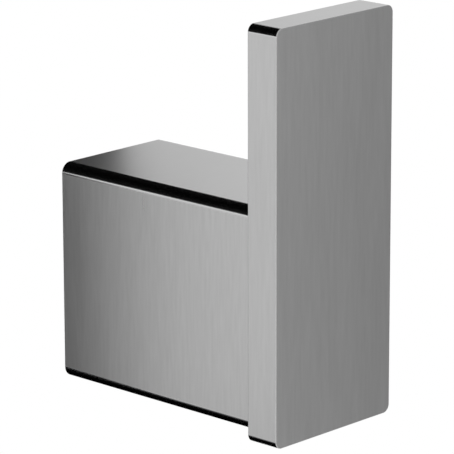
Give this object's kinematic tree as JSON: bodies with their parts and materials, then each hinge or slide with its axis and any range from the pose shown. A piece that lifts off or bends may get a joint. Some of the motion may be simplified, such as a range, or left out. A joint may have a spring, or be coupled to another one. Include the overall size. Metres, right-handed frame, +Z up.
{
  "type": "bath hook",
  "caption": "Wall hook for robes and towels: a rectangular post with a concealed wall bracket carries a taller flat plate on its front end.",
  "frame": {"origin": "middle of the post's wall end, on the wall plane and on the bracket's back face", "axes": "+Z up, +Y into the wall, so the hook stands out from the wall along -Y and the plate faces -Y"},
  "size_m": [0.0322, 0.0586, 0.0802],
  "materials": {
    "brushed_nickel": "satin",
    "bracket_steel": "satin",
    "screw_steel": "satin"
  },
  "bodies": {
    "root": {"post": "brushed_nickel", "front_plate": "brushed_nickel", "plate_screws": "screw_steel", "wall_bracket": "bracket_steel", "set_screw": "screw_steel"}
  },
  "joints": []
}
